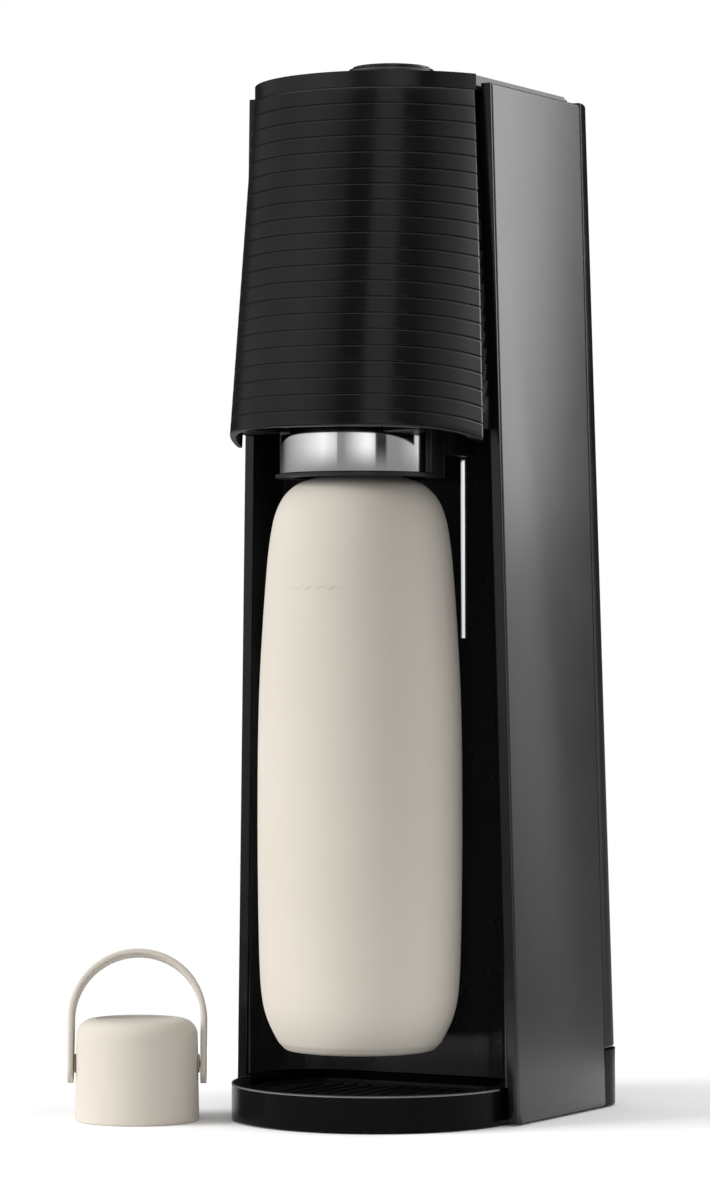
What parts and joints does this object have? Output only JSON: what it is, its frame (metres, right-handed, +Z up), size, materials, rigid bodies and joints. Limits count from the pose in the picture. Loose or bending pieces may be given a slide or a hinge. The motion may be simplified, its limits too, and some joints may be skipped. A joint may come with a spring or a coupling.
{
  "type": "soda carbonator",
  "caption": "Tall soda carbonator with a ribbed round head, press button, tilting bottle holder, gas cylinder behind a pull-off rear cover, bottle, and a loose cap with a carrying handle.",
  "frame": {"origin": "on the worktop, straight below the bottle's upright axis", "axes": "+Z up, +Y towards the back of the machine, +X to its right as seen from the front"},
  "size_m": [0.1768, 0.1867, 0.43],
  "materials": {
    "black_gloss": "polished black moulding",
    "black_satin": "satin black panel",
    "inner_plastic": "fine moulded texture",
    "lever_plastic": "fine moulded texture",
    "bottle_cream": "soft-touch matte",
    "chrome": "mirror chrome",
    "steel": "brushed",
    "brass": "turned",
    "rubber": "matte",
    "cylinder_paint": "painted satin grey"
  },
  "bodies": {
    "frame": {"base_shell": "black_gloss", "base_bottom_plate": "inner_plastic", "rubber_feet": "rubber", "base_screws": "steel", "left_side_panel": "black_satin", "right_side_panel": "black_satin", "column_frame": "inner_plastic", "head_frame": "inner_plastic", "frame_screws": "steel", "head_cover": "black_gloss", "head_side_liners": "black_gloss", "head_underside": "inner_plastic", "top_plate": "black_gloss", "button_guide": "inner_plastic", "button_spring": "steel", "rocker_pin": "steel", "valve_block": "steel", "valve_screws": "steel", "relief_valve": "brass", "gas_hose": "lever_plastic", "hose_nuts": "brass", "cylinder_seat": "rubber"},
    "button": {"carbonation_button": "black_gloss", "button_cap_ring": "black_satin"},
    "rocker": {"rocker_lever": "lever_plastic"},
    "plunger": {"valve_plunger": "brass"},
    "tray": {"drip_tray": "inner_plastic", "drip_grid": "inner_plastic"},
    "lever": {"cylinder_lever": "lever_plastic", "cylinder_lever_pin": "steel"},
    "cylinder": {"gas_cylinder": "cylinder_paint", "cylinder_valve": "brass"},
    "back": {"rear_cover": "black_gloss"},
    "latch": {"cover_latch": "inner_plastic"},
    "holder": {"bottle_holder": "inner_plastic", "collar_trim": "chrome", "holder_pivot_pin": "steel", "bottle_seal": "rubber", "nozzle_tube": "steel", "nozzle_tip": "inner_plastic"},
    "bottle": {"bottle_shell": "bottle_cream", "bottle_neck_ring": "steel"},
    "cap": {"cap_shell": "bottle_cream", "cap_plug": "inner_plastic", "cap_seal": "rubber", "bail_pins": "steel"},
    "bail": {"bail_handle": "bottle_cream"}
  },
  "joints": [
    {"name": "button_press", "type": "slide", "parent": "frame", "child": "button", "axis": [0, 0, -1], "range_m": [0, 0.005], "stiffness_N_per_m": 500, "springref_m": -0.004, "deforming": ["button_spring"]},
    {"name": "rocker_tilt", "type": "hinge", "parent": "frame", "child": "rocker", "pos_m": [0, 0.1, 0.3966], "axis": [1, 0, 0], "range_deg": [0, 4.3]},
    {"name": "plunger_press", "type": "slide", "parent": "frame", "child": "plunger", "axis": [0, 0, -1], "range_m": [0, 0.0016]},
    {"name": "holder_tilt", "type": "hinge", "parent": "frame", "child": "holder", "pos_m": [0, 0.03, 0.29], "axis": [-1, 0, 0], "range_deg": [0, 18]},
    {"name": "bottle_release", "type": "slide", "parent": "holder", "child": "bottle", "axis": [0, 0, -1], "range_m": [0, 0.006]},
    {"name": "tray_lift", "type": "slide", "parent": "frame", "child": "tray", "axis": [0, 0, 1], "range_m": [0, 0.01]},
    {"name": "rear_cover_off", "type": "slide", "parent": "frame", "child": "back", "axis": [0, 1, 0], "range_m": [0, 0.12]},
    {"name": "latch_press", "type": "slide", "parent": "back", "child": "latch", "axis": [0, -1, 0], "range_m": [0, 0.0025], "stiffness_N_per_m": 400, "springref_m": -0.003},
    {"name": "cylinder_out", "type": "slide", "parent": "frame", "child": "cylinder", "axis": [0, 1, 0], "range_m": [0, 0.061]},
    {"name": "lever_lift", "type": "hinge", "parent": "frame", "child": "lever", "pos_m": [0.02, 0.064, 0.377], "axis": [1, 0, 0], "range_deg": [0, 30]},
    {"name": "cap_lift", "type": "slide", "parent": "frame", "child": "cap", "axis": [0, 0, 1], "range_m": [0, 0.05]},
    {"name": "bail_swing", "type": "hinge", "parent": "cap", "child": "bail", "pos_m": [-0.082, -0.039, 0.023], "axis": [0.8746, 0.4848, 0], "range_deg": [-76, 104]}
  ],
  "couplings": [
    {"joint": "rocker_tilt", "follows": "button_press", "rad_per_m": 14.66},
    {"joint": "plunger_press", "follows": "button_press", "ratio": 0.3},
    {"joint": "cylinder_out", "follows": "rear_cover_off", "ratio": 0.5},
    {"joint": "lever_lift", "follows": "rear_cover_off", "rad_per_m": 4.36}
  ]
}
